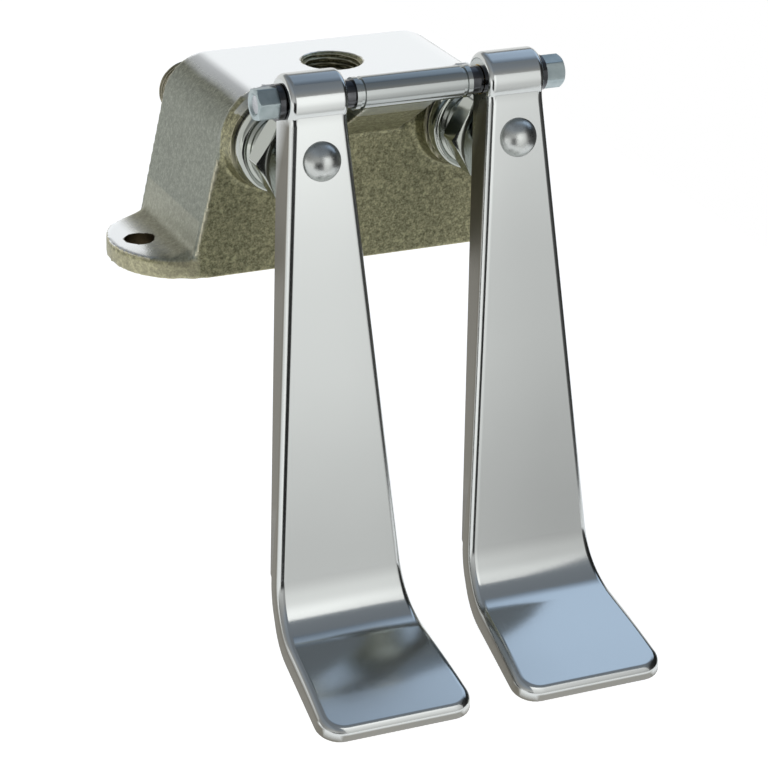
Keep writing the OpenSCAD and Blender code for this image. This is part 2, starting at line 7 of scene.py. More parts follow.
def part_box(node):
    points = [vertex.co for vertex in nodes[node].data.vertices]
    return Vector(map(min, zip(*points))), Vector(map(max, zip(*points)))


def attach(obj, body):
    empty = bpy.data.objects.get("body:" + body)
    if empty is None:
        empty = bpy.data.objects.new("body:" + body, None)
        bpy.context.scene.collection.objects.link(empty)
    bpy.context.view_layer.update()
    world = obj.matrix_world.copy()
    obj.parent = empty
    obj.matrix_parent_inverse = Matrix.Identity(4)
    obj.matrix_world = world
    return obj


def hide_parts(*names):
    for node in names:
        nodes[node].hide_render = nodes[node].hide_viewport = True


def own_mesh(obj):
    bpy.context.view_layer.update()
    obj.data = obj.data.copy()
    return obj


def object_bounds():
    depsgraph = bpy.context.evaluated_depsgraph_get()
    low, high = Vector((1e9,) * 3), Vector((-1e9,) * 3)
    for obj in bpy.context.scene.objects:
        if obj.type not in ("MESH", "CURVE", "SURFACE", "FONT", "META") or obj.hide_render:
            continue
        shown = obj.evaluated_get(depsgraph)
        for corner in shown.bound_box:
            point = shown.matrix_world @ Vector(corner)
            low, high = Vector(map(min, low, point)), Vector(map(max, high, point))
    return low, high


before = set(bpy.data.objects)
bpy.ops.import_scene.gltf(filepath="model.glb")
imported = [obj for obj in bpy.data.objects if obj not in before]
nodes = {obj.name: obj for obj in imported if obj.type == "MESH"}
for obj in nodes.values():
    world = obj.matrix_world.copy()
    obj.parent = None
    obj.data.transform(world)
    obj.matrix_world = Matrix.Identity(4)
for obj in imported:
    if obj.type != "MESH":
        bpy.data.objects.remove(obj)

cadBox = [list(corner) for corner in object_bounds()]
mm = 0.001


# working habits: one object at a time, nothing else selected

def deselectAll():
    if bpy.context.object and bpy.context.object.mode != "OBJECT":
        bpy.ops.object.mode_set(mode="OBJECT")
    bpy.ops.object.select_all(action="DESELECT")


def focus(obj):
    deselectAll()
    bpy.context.view_layer.objects.active = obj
    obj.select_set(True)


def startEdit(obj, kind="FACE"):
    focus(obj)
    bpy.ops.object.mode_set(mode="EDIT")
    bpy.ops.mesh.select_mode(type=kind)
    bpy.ops.mesh.select_all(action="DESELECT")


def endEdit():
    bpy.ops.object.mode_set(mode="OBJECT")


def pickFaces(obj, wanted):  # adds to the selection every face whose normal suits
    cage = bmesh.from_edit_mesh(obj.data)
    for face in cage.faces:
        if wanted(face.normal):
            face.select_set(True)
    bmesh.update_edit_mesh(obj.data)


def bevelEdges(obj, wanted, size, segments):  # rounds the edges whose two ends suit
    bpy.ops.mesh.select_mode(type="EDGE")
    bpy.ops.mesh.select_all(action="DESELECT")
    cage = bmesh.from_edit_mesh(obj.data)
    for edge in cage.edges:
        if wanted(edge.verts[0].co / mm, edge.verts[1].co / mm):
            edge.select_set(True)
    bmesh.update_edit_mesh(obj.data)
    bpy.ops.mesh.bevel(offset=size * mm, segments=segments, profile=0.5, affect="EDGES")


def movePicked(obj, place):  # place takes and gives millimetres
    cage = bmesh.from_edit_mesh(obj.data)
    for vert in cage.verts:
        if vert.select:
            vert.co = Vector(place(vert.co / mm)) * mm
    bmesh.update_edit_mesh(obj.data)


def finishMod(obj, kind, **settings):
    focus(obj)
    mod = obj.modifiers.new(kind.lower(), kind)
    for key, value in settings.items():
        setattr(mod, key, value)
    bpy.ops.object.modifier_apply(modifier=mod.name)
    return obj


def combine(obj, other, how):  # boolean with a second solid that is then thrown away
    finishMod(obj, "BOOLEAN", object=other, operation=how, solver="EXACT")
    bpy.data.objects.remove(other)
    return obj


def joinAll(pieces):
    deselectAll()
    for piece in pieces:
        piece.select_set(True)
    bpy.context.view_layer.objects.active = pieces[0]
    bpy.ops.object.join()
    return pieces[0]


def settle(obj, turn=(0, 0, 0), place=(0, 0, 0)):  # turned and moved, then applied to the mesh
    focus(obj)
    obj.rotation_euler = turn
    obj.location = place
    bpy.ops.object.transform_apply(location=True, rotation=True, scale=True)
    return obj


def tidyMesh(obj):
    startEdit(obj, "VERT")
    bpy.ops.mesh.select_all(action="SELECT")
    bpy.ops.mesh.remove_doubles(threshold=0.002 * mm)
    bpy.ops.mesh.dissolve_degenerate(threshold=0.001 * mm)
    bpy.ops.mesh.normals_make_consistent(inside=False)
    endEdit()
    return obj


def addBox(name, low, high):
    deselectAll()
    bpy.ops.mesh.primitive_cube_add(size=1)
    obj = bpy.context.object
    obj.name = name
    obj.scale = [(b - a) * mm for a, b in zip(low, high)]
    return settle(obj, place=[(a + b) / 2 * mm for a, b in zip(low, high)])


axisTurn = {"X": (0, math.pi / 2, 0), "Y": (-math.pi / 2, 0, 0), "Z": (0, 0, 0)}


def addRound(name, axis, radius, start, end, place=(0, 0, 0), sides=64, endRadius=None):
    # straight or tapered bar along an axis, from start to end, its axis through place
    deselectAll()
    bpy.ops.mesh.primitive_cone_add(vertices=sides, radius1=radius * mm, depth=(end - start) * mm,
                                    radius2=(radius if endRadius is None else endRadius) * mm)
    obj = settle(bpy.context.object, place=(0, 0, (start + end) / 2 * mm))
    obj.name = name
    return settle(obj, axisTurn[axis], Vector(place) * mm)


def lathe(name, outline, axis, place=(0, 0, 0), steps=64):
    # closed outline of (radius, along) points turned about an axis
    deselectAll()
    bpy.ops.mesh.primitive_circle_add(vertices=len(outline), location=(0, 0, 0))
    obj = bpy.context.object
    obj.name = name
    for vert, (radius, along) in zip(obj.data.vertices, outline):
        vert.co = (radius * mm, 0, along * mm)
    startEdit(obj, "VERT")
    bpy.ops.mesh.select_all(action="SELECT")
    bpy.ops.mesh.spin(steps=steps, angle=2 * math.pi, center=(0, 0, 0), axis=(0, 0, 1))
    endEdit()
    return settle(tidyMesh(obj), axisTurn[axis], Vector(place) * mm)


def arc(centre, radius, fromDeg, toDeg, count):  # points of a rounded corner in an outline
    angles = [math.radians(fromDeg + (toDeg - fromDeg) * i / count) for i in range(count + 1)]
    return [(centre[0] + radius * math.cos(a), centre[1] + radius * math.sin(a)) for a in angles]


def placeCopy(obj, name, matrix):  # a copy with its own mesh, put in place
    twin = obj.copy()
    twin.data = obj.data.copy()
    twin.name = name
    bpy.context.scene.collection.objects.link(twin)
    twin.data.transform(matrix)
    return twin


def smoothShade(obj, angle, weighted=False):
    focus(obj)
    bpy.ops.object.shade_smooth_by_angle(angle=math.radians(angle))
    if weighted:
        finishMod(obj, "WEIGHTED_NORMAL", keep_sharp=True, weight=80)
    return obj


def writeMark(obj, name, value):  # one number per point, for a material to read
    mark = obj.data.attributes.new(name, "FLOAT", "POINT")
    normals = [v.normal.copy() for v in obj.data.vertices]
    for i, vert in enumerate(obj.data.vertices):
        mark.data[i].value = value(vert.co / mm, normals[i])


def limit(value):
    return max(0, min(1, value))


# the shared frame, millimetres as in the solids
valveX = 35.7
valveZ = 49.5
hinge = Vector((0, -61.6, 73))
bothSides = ((-1, "left"), (1, "right"))


def atValve(side):
    return Matrix.Translation(Vector((side * valveX, 0, valveZ)) * mm)


# camera fitted to the photograph
cameraSizes = {"place": (-405.13, -902.61, 374.78), "turn": 25.40, "down": 23.65, "roll": 1.855,
               "lens": 138.9, "sensor": 36, "sight": 20}


def addCamera():
    c = cameraSizes
    a, e, r = (math.radians(c[k]) for k in ("turn", "down", "roll"))
    ahead = Vector((math.sin(a) * math.cos(e), math.cos(a) * math.cos(e), -math.sin(e)))
    right = Vector((math.cos(a), -math.sin(a), 0))
    up = right.cross(ahead)
    side = math.cos(r) * right + math.sin(r) * up
    top = -math.sin(r) * right + math.cos(r) * up
    data = bpy.data.cameras.new("photoCamera")
    data.lens = c["lens"]
    data.sensor_width = c["sensor"]
    data.clip_end = c["sight"]
    camera = bpy.data.objects.new("photoCamera", data)
    bpy.context.scene.collection.objects.link(camera)
    turned = Matrix((side, top, -ahead)).transposed().to_4x4()
    camera.matrix_world = Matrix.Translation(Vector(c["place"]) * mm) @ turned
    bpy.context.scene.camera = camera


addCamera()
print("camera placed")


# materials

def hexColour(code):
    parts = [int(code[i:i + 2], 16) / 255 for i in (1, 3, 5)]
    return [p / 12.92 if p <= 0.04045 else ((p + 0.055) / 1.055) ** 2.4 for p in parts] + [1.0]


def grey(v):
    return (v, v, v, 1)


def setInputs(tree, node, inputs):  # socket name or number -> constant or another node's socket
    for key, value in inputs.items():
        if isinstance(value, bpy.types.NodeSocket):
            tree.links.new(value, node.inputs[key])
        else:
            node.inputs[key].default_value = value


def addNode(tree, kind, inputs=None, **settings):
    node = tree.nodes.new(kind)
    for key, value in settings.items():
        setattr(node, key, value)
    setInputs(tree, node, inputs or {})
    return node


def readMark(tree, name):
    return addNode(tree, "ShaderNodeAttribute", attribute_name=name).outputs["Fac"]


def noise(tree, place, grainMm, detail, **more):
    inputs = {"Vector": place, "Scale": 1 / (grainMm * mm), "Detail": detail, **more}
    return addNode(tree, "ShaderNodeTexNoise", inputs).outputs["Fac"]


def calc(tree, how, *values):
    return addNode(tree, "ShaderNodeMath", dict(enumerate(values)), operation=how).outputs[0]


def rescale(tree, value, low=0, high=1, toLow=0, toHigh=1, kind="LINEAR"):
    inputs = {"Value": value, "From Min": low, "From Max": high, "To Min": toLow, "To Max": toHigh}
    return addNode(tree, "ShaderNodeMapRange", inputs, interpolation_type=kind).outputs["Result"]


def mix(tree, factor, a, b, blend="MIX"):
    inputs = {"Factor": factor, "A": a, "B": b}
    return addNode(tree, "ShaderNodeMix", inputs, data_type="RGBA", blend_type=blend).outputs["Result"]


def ramp(tree, value, stops, kind="LINEAR"):  # stops: places and colours
    node = addNode(tree, "ShaderNodeValToRGB", {"Fac": value})
    node.color_ramp.interpolation = kind
    elements = node.color_ramp.elements
    for i, (place, colour) in enumerate(stops):
        if i >= len(elements):
            elements.new(place)
        elements[i].position = place
        elements[i].color = colour
    return node.outputs["Color"]


def bump(tree, strength, depthMm, height, **more):
    inputs = {"Strength": strength, "Distance": depthMm * mm, "Height": height, **more}
    return addNode(tree, "ShaderNodeBump", inputs).outputs[0]


def splitAxes(tree, place):
    parts = addNode(tree, "ShaderNodeSeparateXYZ", {0: place})
    return [parts.outputs[axis] for axis in "XYZ"]


def newMaterial(name):
    material = bpy.data.materials.new(name)
    material.use_nodes = True
    tree = material.node_tree
    tree.nodes.clear()
    shader = addNode(tree, "ShaderNodeBsdfPrincipled")
    addNode(tree, "ShaderNodeOutputMaterial", {"Surface": shader.outputs[0]})
    coord = addNode(tree, "ShaderNodeTexCoord")
    return material, tree, shader, coord.outputs["Object"]


# sand-cast brass under dull nickel: fine grain, olive in front, buffed white on top, pale worn edges that
# also carry a painted highlight, bores darkened with painted shade
castingLook = {"flank": "#84887d", "front": "#8a886c", "polished": "#f0f4f6", "wornAndHighlit": "#dcd6bc",
               "inside": "#463d2d", "barrel": "#a4a8a6", "grainMm": 0.7, "pebbleMm": 1.6, "blotchMm": 16,
               "buffEdge": (0.2, 1.05), "uneven": 0.3, "plainSpots": 0.5, "rough": 0.45, "smooth": 0.14,
               "relief": 0.32, "reliefMm": 0.3, "specks": ((0.36, 0.5), (0.5, 0.96), (0.64, 1.6))}


def makeCastingMaterial():
    look = castingLook
    material, tree, shader, place = newMaterial("nickelPlatedSandCasting")
    polishAndEarShade, tan, wearAndPaintedLight, inside, plated = (readMark(tree, name)
                                         for name in ("polishAndEarShade", "tan", "wearAndPaintedLight", "inside", "plated"))
    grain, pebble, blotch = (noise(tree, place, look[size], 2, Roughness=0.6)
                             for size in ("grainMm", "pebbleMm", "blotchMm"))
    # the buffed area fades out over the rolled ends, a little unevenly
    uneven = calc(tree, "MULTIPLY_ADD", blotch, look["uneven"], polishAndEarShade)
    buffedAndEarShaded = rescale(tree, uneven, *look["buffEdge"], kind="SMOOTHSTEP")
    speck = calc(tree, "ADD", grain, pebble)
    tone = ramp(tree, rescale(tree, speck, high=2), [(at, grey(v)) for at, v in look["specks"]])
    skin = mix(tree, tan, hexColour(look["flank"]), hexColour(look["front"]))
    colour = mix(tree, rescale(tree, tan, toLow=look["plainSpots"]), skin, tone, "MULTIPLY")
    # the pale worn colour also paints a highlight on the edges and light into the ears' fillets; the inside
    # colour paints shade into the bores
    for mark, name in ((wearAndPaintedLight, "wornAndHighlit"), (buffedAndEarShaded, "polished"), (plated, "barrel"), (inside, "inside")):
        colour = mix(tree, mark, colour, hexColour(look[name]))
    relief = rescale(tree, buffedAndEarShaded, toLow=look["relief"], toHigh=0)
    setInputs(tree, shader, {"Base Color": colour, "Metallic": 1,
                             "Roughness": rescale(tree, buffedAndEarShaded, toLow=look["rough"], toHigh=look["smooth"]),
                             "Normal": bump(tree, relief, look["reliefMm"], speck)})
    return material


# polished chrome plate: mirror face with faint waves, flanks left satin and painted darker and warmer, a
# painted reflection of tan-grey surroundings
chromeLook = {"face": "#c5c8c6", "flank": "#737067", "waveMm": 38, "waveDepth": 1.2, "satinMm": 0.6,
              "satinDepth": 0.03, "satinDull": 0.26, "smear": (0.7, 1.5)}


def makeChromeMaterial(name, face, waves, roughness):
    look = chromeLook
    material, tree, shader, place = newMaterial(name)
    satinAndPaintedDark = readMark(tree, "satinAndPaintedDark")
    wave = noise(tree, place, look["waveMm"], 1)
    grit = noise(tree, place, look["satinMm"], 2)
    smear = rescale(tree, grit, toLow=roughness * look["smear"][0], toHigh=roughness * look["smear"][1])
    slow = bump(tree, waves, look["waveDepth"], wave)
    # the satin places take the darker warm flank colour, a painted reflection of tan-grey surroundings
    setInputs(tree, shader, {"Base Color": mix(tree, satinAndPaintedDark, hexColour(face), hexColour(look["flank"])),
                             "Metallic": 1,
                             "Roughness": calc(tree, "MULTIPLY_ADD", satinAndPaintedDark, look["satinDull"], smear),
                             "Normal": bump(tree, satinAndPaintedDark, look["satinDepth"], grit, Normal=slow)})
    return material


# turned or plated small metal: fine lathe grain and slight tarnish patches
metalLook = {"patchMm": 6, "grainMm": 0.4, "grainDepth": 0.02, "relief": 0.4, "patches": (0.35, 0.65),
             "smear": (0.7, 1.3)}


def makeMetalMaterial(name, light, dark, roughness):
    look = metalLook
    material, tree, shader, place = newMaterial(name)
    patch = noise(tree, place, look["patchMm"], 3)
    grain = noise(tree, place, look["grainMm"], 2)
    gloss = rescale(tree, grain, toLow=roughness * look["smear"][0], toHigh=roughness * look["smear"][1])
    stops = list(zip(look["patches"], (hexColour(dark), hexColour(light))))
    setInputs(tree, shader, {"Base Color": ramp(tree, patch, stops), "Metallic": 1, "Roughness": gloss,
                             "Normal": bump(tree, look["relief"], look["grainDepth"], grain)})
    return material


# moulded nitrile rubber: dull near-black with a bloom of grey dust
rubberLook = {"bloomMm": 3, "bloomDepth": 0.05, "relief": 0.2, "dull": (0.55, 0.8),
              "tones": ((0.4, "#151516"), (0.75, "#2b2b2d"))}


def makeRubberMaterial():
    look = rubberLook
    material, tree, shader, place = newMaterial("mouldedNitrileRubber")
    bloom = noise(tree, place, look["bloomMm"], 4)
    colour = ramp(tree, bloom, [(at, hexColour(code)) for at, code in look["tones"]])
    gloss = rescale(tree, bloom, toLow=look["dull"][0], toHigh=look["dull"][1])
    setInputs(tree, shader, {"Base Color": colour, "Roughness": gloss,
                             "Normal": bump(tree, look["relief"], look["bloomDepth"], bloom)})
    return material


castingFinish = makeCastingMaterial()
pedalFinish = makeChromeMaterial("polishedChromePedal", chromeLook["face"], 0.25, 0.13)  # soft mirror
trimFinish = makeChromeMaterial("brightChromeTrim", "#ccd0d0", 0.0, 0.05)  # clear mirror
bonnetFinish = makeChromeMaterial("chromeBonnetPaintedShade", "#a9ada6", 0.0, 0.12)  # painted greyer for the pedals' shade
domeFinish = makeChromeMaterial("satinChromeDome", "#bcbfbc", 0.0, 0.28)  # rubbed by shoes
zincFinish = makeMetalMaterial("zincPlatedSteel", "#b2bdbe", "#9ba8a9", 0.46)  # bluish and flat
brassFinish = makeMetalMaterial("turnedBrass", "#c8a65e", "#a98a48", 0.25)
steelFinish = makeMetalMaterial("drawnSteel", "#b9bcbf", "#97999c", 0.28)
gapShadeFinish = makeMetalMaterial("darkSteelPaintedShade", "#5c5d5f", "#3e3f41", 0.16)  # painted near-black for the shade in the gaps on the rod
rubberFinish = makeRubberMaterial()
print("materials ready")


def dress(obj, material):
    obj.data.materials.clear()
    obj.data.materials.append(material)


# pedals, drawn with the strap hanging straight down from the rod and then leaned forward
pedalSizes = {"eyeRadius": 9.2, "eyeHalf": 10.3, "faceOffset": 7.7, "lean": 9.5, "strapStart": 6.3,
              "cornerZ": -173.5, "bendHalf": 24, "bendTurn": 65, "bendRadius": 22, "padLength": 52.4,
              "padHalf": 27.4, "padCorner": 8.5, "skin": 3.5, "wall": 3, "hingeDepth": 12.2, "padDepth": 6.8,
              "pocketTop": 7.7, "edgeRound": 2.8, "eyeRound": 2.2, "rimRound": 1.0, "crownRun": 30,
              "crownFall": 1.6, "bushRadius": 5.0, "screwDrop": 19.6, "screwRadius": 4.1,
              "strapRuns": 6, "bendSteps": 14, "padRuns": 5, "lastRun": 14,
              "flankTop": -6, "rimDepth": 3.2, "rimReach": 0.4, "rimSatin": 0.8,
              "backDepth": 4.5, "backTop": -10}


def buildPedal():
    p = pedalSizes
    close, loose = 0.05, 0.1  # how near counts as lying on a face or at the pad's end
    turn = math.radians(p["bendTurn"])
    tangent = p["bendRadius"] * math.tan(turn / 2)
    bendTop = p["cornerZ"] + tangent
    ahead = Vector((0, -math.sin(turn), -math.cos(turn)))
    behind = Vector((0, math.cos(turn), -math.sin(turn)))
    corner = Vector((0, -p["faceOffset"], p["cornerZ"]))
    centre = Vector((0, -p["faceOffset"] - p["bendRadius"], bendTop))
    padFall = p["padLength"] * math.cos(turn) + p["padDepth"] * math.sin(turn)
    padDraft = (p["padHalf"] - p["bendHalf"]) * p["padDepth"] * math.tan(turn) / p["padLength"]

    def halfAt(z):  # half the width, seen from the front
        if z > -p["strapStart"]:
            return p["eyeHalf"]
        if z > p["cornerZ"]:
            t = (z + p["strapStart"]) / (p["cornerZ"] + p["strapStart"])
            return p["eyeHalf"] + (p["bendHalf"] - p["eyeHalf"]) * t
        return p["bendHalf"] + (p["padHalf"] + padDraft - p["bendHalf"]) * (p["cornerZ"] - z) / padFall

    def onStrap(co):
        return co.z > bendTop - 0.01

    def depthOf(co):  # distance behind the front face, and the direction straight back
        if onStrap(co):
            return co.y + p["faceOffset"], Vector((0, 1, 0))
        arm = Vector((0, co.y, co.z)) - centre
        if arm.dot(ahead) > 0.01:
            return (Vector((0, co.y, co.z)) - corner).dot(behind), behind
        return arm.length - p["bendRadius"], arm.normalized()

    def toEnd(co):  # distance past the pad's front end
        return (Vector((0, co.y, co.z)) - corner).dot(ahead) - p["padLength"]

    def onFront(co):
        return abs(depthOf(co)[0]) < close

    def onBack(co):
        return abs(depthOf(co)[0] - p["padDepth"]) < close

    def atEnd(co):
        return abs(toEnd(co)) < loose

    obj = addBox("pedal", (-p["eyeHalf"], -p["faceOffset"], -p["pocketTop"]),
                 (p["eyeHalf"], -p["faceOffset"] + p["padDepth"], 0))
    startEdit(obj)
    pickFaces(obj, lambda normal: normal.z < -0.9)
    strapRun = (bendTop + p["pocketTop"]) / p["strapRuns"]
    for i in range(p["strapRuns"]):
        bpy.ops.mesh.extrude_region_move(TRANSFORM_OT_translate={"value": (0, 0, strapRun * mm)})
    bpy.ops.mesh.spin(steps=p["bendSteps"], angle=turn, center=centre * mm, axis=(1, 0, 0))
    padRun = (p["padLength"] - tangent - p["lastRun"]) / p["padRuns"]
    for run in [padRun] * p["padRuns"] + [p["lastRun"]]:  # the last run leaves room for the corners
        bpy.ops.mesh.extrude_region_move(TRANSFORM_OT_translate={"value": ahead * run * mm})
    bpy.ops.mesh.select_all(action="SELECT")
    bpy.ops.mesh.remove_doubles(threshold=0.01 * mm)
    bpy.ops.mesh.normals_make_consistent(inside=False)

    def shape(co):  # flare the width, deepen the walls towards the hinge
        y = co.y
        if onStrap(co) and not onFront(co):
            y = -p["faceOffset"] + p["hingeDepth"] + (p["padDepth"] - p["hingeDepth"]) * co.z / bendTop
        return ((1 if co.x > 0 else -1) * halfAt(co.z), y, co.z)
    movePicked(obj, shape)
    bevelEdges(obj, lambda a, b: atEnd(a) and atEnd(b) and a.x * b.x > 0, p["padCorner"], 8)

    def frontEdge(a, b):  # both flanks and the end, not the lines across the face
        if not (onFront(a) and onFront(b) and min(a.z, b.z) < -loose):
            return False
        return atEnd(a) or a.x * b.x > 0
    bevelEdges(obj, frontEdge, p["edgeRound"], 6)

    def backEdge(a, b):  # outer edge of the back rim, a little rounded from the bend down
        if not (onBack(a) and onBack(b)):
            return False
        return max(a.z, b.z) < bendTop + loose and a.x * b.x > 0 or atEnd(a) and atEnd(b)
    bevelEdges(obj, backEdge, p["rimRound"], 3)
    # channel at the back: inset the back faces, then push them in to the skin
    bpy.ops.mesh.select_mode(type="FACE")
    bpy.ops.mesh.select_all(action="DESELECT")
    cage = bmesh.from_edit_mesh(obj.data)
    for face in cage.faces:
        depth = min(depthOf(v.co / mm)[0] for v in face.verts)
        top = max(v.co.z for v in face.verts) / mm
        back = depthOf(face.calc_center_median() / mm)[1]
        if depth > p["padDepth"] - loose and top < -p["pocketTop"] + loose and face.normal.dot(back) > 0.7:
            face.select_set(True)
    bmesh.update_edit_mesh(obj.data)
    bpy.ops.mesh.inset(thickness=p["wall"] * mm, use_even_offset=True)
    bpy.ops.mesh.extrude_region_move(TRANSFORM_OT_translate={"value": (0, 0, 0)})

    def sink(co):
        deep, back = depthOf(co)
        return co - back * (deep - p["skin"])
    movePicked(obj, sink)
    endEdit()

    eye = addRound("eye", "X", p["eyeRadius"], -p["eyeHalf"], p["eyeHalf"], sides=72)
    startEdit(eye, "EDGE")
    bevelEdges(eye, lambda a, b: abs(a.x - b.x) < loose, p["eyeRound"], 5)
    endEdit()
    combine(obj, eye, "UNION")
    combine(obj, addRound("bore", "X", p["bushRadius"], -20, 20, sides=48), "DIFFERENCE")
    combine(obj, addRound("hole", "Y", p["screwRadius"], -12, 0, (0, 0, -p["screwDrop"]), 40), "DIFFERENCE")
    tidyMesh(obj)

    def crown(co):  # the front of the pad falls away a little, its lower rim stays
        deep, back = depthOf(co)
        run = max(0, toEnd(co) / p["crownRun"] + 1)
        return co + back * p["crownFall"] * run ** 2 * max(0, 1 - deep / p["padDepth"])
    startEdit(obj, "VERT")
    bpy.ops.mesh.select_all(action="SELECT")
    movePicked(obj, crown)
    endEdit()

    def satinAndPaintedDark(co, normal):  # flanks and the channel aren't buffed, the front rim only lightly; these places also take a darker, warmer colour, a painted reflection
        deep = depthOf(co)[0]
        if abs(normal.x) > 0.9 and co.z < p["flankTop"]:
            return 1
        if toEnd(co) > -p["rimReach"] and deep > p["rimDepth"]:
            return p["rimSatin"]
        return 1 if deep > p["backDepth"] and co.z < p["backTop"] else 0
    writeMark(obj, "satinAndPaintedDark", satinAndPaintedDark)
    smoothShade(obj, 40, True)
    dress(obj, pedalFinish)
    return obj


# domed push screw with a slim rim, shank and rounded tip
screwSizes = {"headRadius": 6.6, "headHeight": 5.0, "rim": 0.5, "rimChamfer": 0.15, "shankRadius": 4.0,
              "tipRound": 1.07, "tipY": -64.4}


def buildPushScrew():
    s, p = screwSizes, pedalSizes
    lean = math.radians(p["lean"])
    tipDepth = p["faceOffset"] + (s["tipY"] - hinge.y + p["screwDrop"] * math.sin(lean)) / math.cos(lean)
    rise = s["headHeight"] - s["rim"]
    ball = (s["headRadius"] ** 2 + rise ** 2) / (2 * rise)
    spread = math.degrees(math.asin(s["headRadius"] / ball))
    outline = arc((0, ball - s["headHeight"]), ball, -90, spread - 90, 12)
    outline += [(s["headRadius"], -s["rimChamfer"]), (s["headRadius"] - s["rimChamfer"], 0),
                (s["shankRadius"], 0)]
    outline += [(s["shankRadius"] * x, tipDepth + s["tipRound"] * (y - 1))
                for x, y in arc((0, 0), 1, 0, 90, 6)]
    obj = lathe("pushScrew", outline, "Y", (0, -p["faceOffset"], -p["screwDrop"]), 56)
    smoothShade(obj, 50)
    dress(obj, domeFinish)
    return obj


def pedalPlace(side):
    lean = Matrix.Rotation(-math.radians(pedalSizes["lean"]), 4, "X")
    return Matrix.Translation(Vector((side * valveX, hinge.y, hinge.z)) * mm) @ lean


pedalModel = buildPedal()
print("pedal modelled", len(pedalModel.data.polygons), "faces")
screwModel = buildPushScrew()
for side, word in bothSides:
    pedal = placeCopy(pedalModel, word + "PedalLook", pedalPlace(side))
    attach(pedal, word + "_pedal")
    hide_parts(word + "_pedal")
    screw = placeCopy(screwModel, word + "PushScrewLook", pedalPlace(side))
    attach(screw, word + "_pedal")
    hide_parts(word + "_push_screw")
bpy.data.objects.remove(pedalModel)
bpy.data.objects.remove(screwModel)
print("pedals and push screws placed")


# casting: rolled block, ears, bosses and hinge arm, run together with soft sand-cast fillets
castSizes = {"height": 63.5, "depth": 53, "frontLean": 3.1, "footHalf": 63.4, "topHalf": 50.5, "roll": 16,
             "ear": 7, "earCentre": 56, "earRadius": 26.5, "hole": 5.25, "holeX": 72, "holeEnds": (-2, 20),
             "wedge": 7, "wedgeRise": 5.25, "wedgeInset": 1.5, "wedgeTaper": 0.86, "wedgeDrop": 0.4,
             "wedgeSink": 1.2, "boss": 16.8, "bossFlare": 1.4, "bossFace": -35.2, "bossRoot": -27,
             "stock": 1.5, "faceHalf": 18.1, "collar": 13, "collarEnds": (25, 29.5), "stubZ": 42.5,
             "barrel": 5.5, "barrelHalf": 21, "barrelLow": (-68, 66), "barrelHigh": (-55, 80),
             "neckX": 18.6, "neck": 4.9, "neckHalf": (0.6, 1.2), "rodBore": 3.1, "armHalf": 13,
             "armFront": ((-61.6, 78), (-60.1, 68)), "armRoot": ((-19.6, 63.5), (-27.9, 46)),
             "outletY": 1.4, "outletBore": 11.0, "outletEnds": (48.5, 66), "gallery": 6, "galleryY": -15.7,
             "chamber": ((10.1, -37, -11.2), (9.5, -12, -1.2), (9.2, -2.2, 14.35)),
             "supply": (9.0, 10.25, 31), "grain": 0.75, "soften": 3, "melt": 16}


def fromValve(co):
    return math.hypot(abs(co.x) - valveX, co.z - valveZ)


def fromStub(co):
    return math.hypot(abs(co.x) - valveX, co.z - castSizes["stubZ"])


def inOutlet(co):
    return math.hypot(co.x, co.y - castSizes["outletY"]) < castSizes["outletBore"] + 0.2


def buildWedge(side):  # becomes the hollow fillet between ear and end face, stays within the ear
    c = castSizes
    half = c["depth"] / 2 - c["wedgeInset"]
    wedge = addBox("wedge", (-c["wedge"], -half, 0), (c["wedge"], half, c["ear"] + c["wedgeRise"]))
    startEdit(wedge)
    pickFaces(wedge, lambda normal: normal.x * side > 0.9)
    movePicked(wedge, lambda co: (co.x, co.y * c["wedgeTaper"], min(co.z, c["ear"] - c["wedgeDrop"])))
    endEdit()
    return settle(wedge, place=(side * (c["footHalf"] - c["wedgeSink"]) * mm, 0, 0))


def buildArm():
    c = castSizes
    front, root = c["armFront"], c["armRoot"]  # y and z of the upper and the lower edge
    low, high = (front[0][0], root[1][1]), (root[0][0], front[0][1])
    arm = addBox("arm", (-c["armHalf"], *low), (c["armHalf"], *high))
    startEdit(arm)
    bpy.ops.mesh.select_all(action="SELECT")

    def armPlace(co):
        end = front if co.y < (low[0] + high[0]) / 2 else root
        return (co.x, *end[0 if co.z > (low[1] + high[1]) / 2 else 1])
    movePicked(arm, armPlace)
    endEdit()
    return arm


def inFillet(co):  # where the sand-cast corners are melted together
    x, y, z = abs(co.x), co.y, co.z
    if 56 < x < 75 and 4 < z < 24 and abs(y) < 23.5:  # ear against end face
        return True
    if 58 < x < 70 and z < 9 and abs(y) > 23.5:  # ear runs into the front without a corner
        return True
    if x < 17 and -35 < y < -24 and 40 < z < 60:  # under the arm
        return True
    return -34 < y < -25 and 16 < fromValve(co) < 20 and z < 60  # round the bosses


